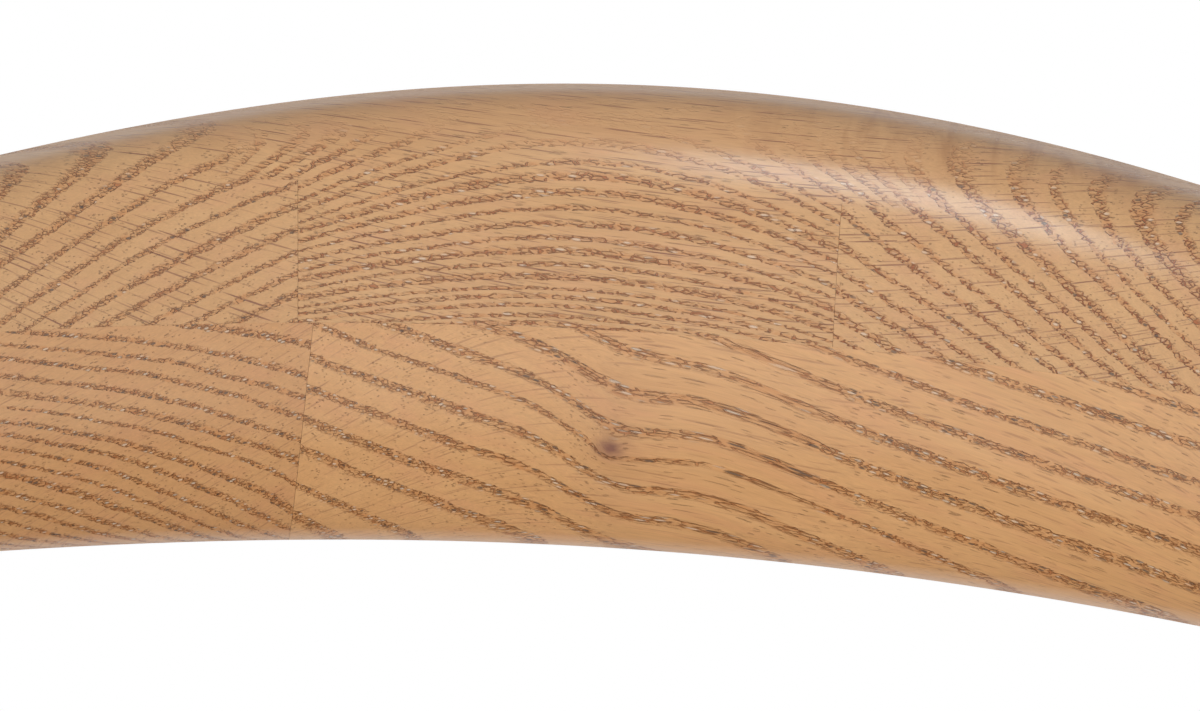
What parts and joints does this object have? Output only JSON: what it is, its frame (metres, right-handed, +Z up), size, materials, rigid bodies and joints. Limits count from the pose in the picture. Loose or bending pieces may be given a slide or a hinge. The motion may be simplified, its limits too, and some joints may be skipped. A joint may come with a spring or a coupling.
{
  "type": "counter stool",
  "caption": "Four-legged oak counter stool with a carved wrap-around back rail of glued blocks, a padded seat and a guarded footrest.",
  "frame": {"origin": "on the floor, in the middle of the four feet", "axes": "+Z up, +Y from the sitter's knees to the back rail, +X to the right as seen from the front"},
  "size_m": [0.5874, 0.4755, 0.88],
  "materials": {
    "oak": "open-pored oak under a clear satin lacquer",
    "beech": "plain planed beech, unfinished",
    "plywood": "birch plywood, sanded",
    "zinc_steel": "zinc-plated steel",
    "guard_steel": "brushed stainless steel",
    "foam": "open-cell seat foam",
    "seat_leather": "dark brown smooth leather, semi-matt",
    "dust_cloth": "thin black non-woven cloth",
    "glide_nylon": "black nylon"
  },
  "bodies": {
    "root": {"lower_block_left_arm": "oak", "lower_block_left": "oak", "lower_block_centre": "oak", "lower_block_right": "oak", "lower_block_right_arm": "oak", "upper_block_left": "oak", "upper_block_centre": "oak", "upper_block_right": "oak", "crest_cap": "oak", "rear_leg_left": "oak", "rear_leg_right": "oak", "front_leg_left": "oak", "front_leg_right": "oak", "seat_rail_front": "oak", "seat_rail_back": "oak", "seat_rail_left": "oak", "seat_rail_right": "oak", "seat_rail_dowels": "beech", "corner_block_front_left": "beech", "corner_block_front_right": "beech", "corner_block_back_left": "beech", "corner_block_back_right": "beech", "corner_block_screws": "zinc_steel", "seat_board": "plywood", "seat_tee_nuts": "zinc_steel", "seat_screws": "zinc_steel", "seat_foam": "foam", "seat_cover": "seat_leather", "seat_piping": "seat_leather", "dust_cover": "dust_cloth", "footrest_bar": "oak", "footrest_guard": "guard_steel", "footrest_screws": "guard_steel", "side_stretcher_left": "oak", "side_stretcher_right": "oak", "back_stretcher": "oak", "glide_front_left": "glide_nylon", "glide_front_right": "glide_nylon", "glide_back_left": "glide_nylon", "glide_back_right": "glide_nylon", "glide_nails": "zinc_steel"}
  },
  "joints": []
}
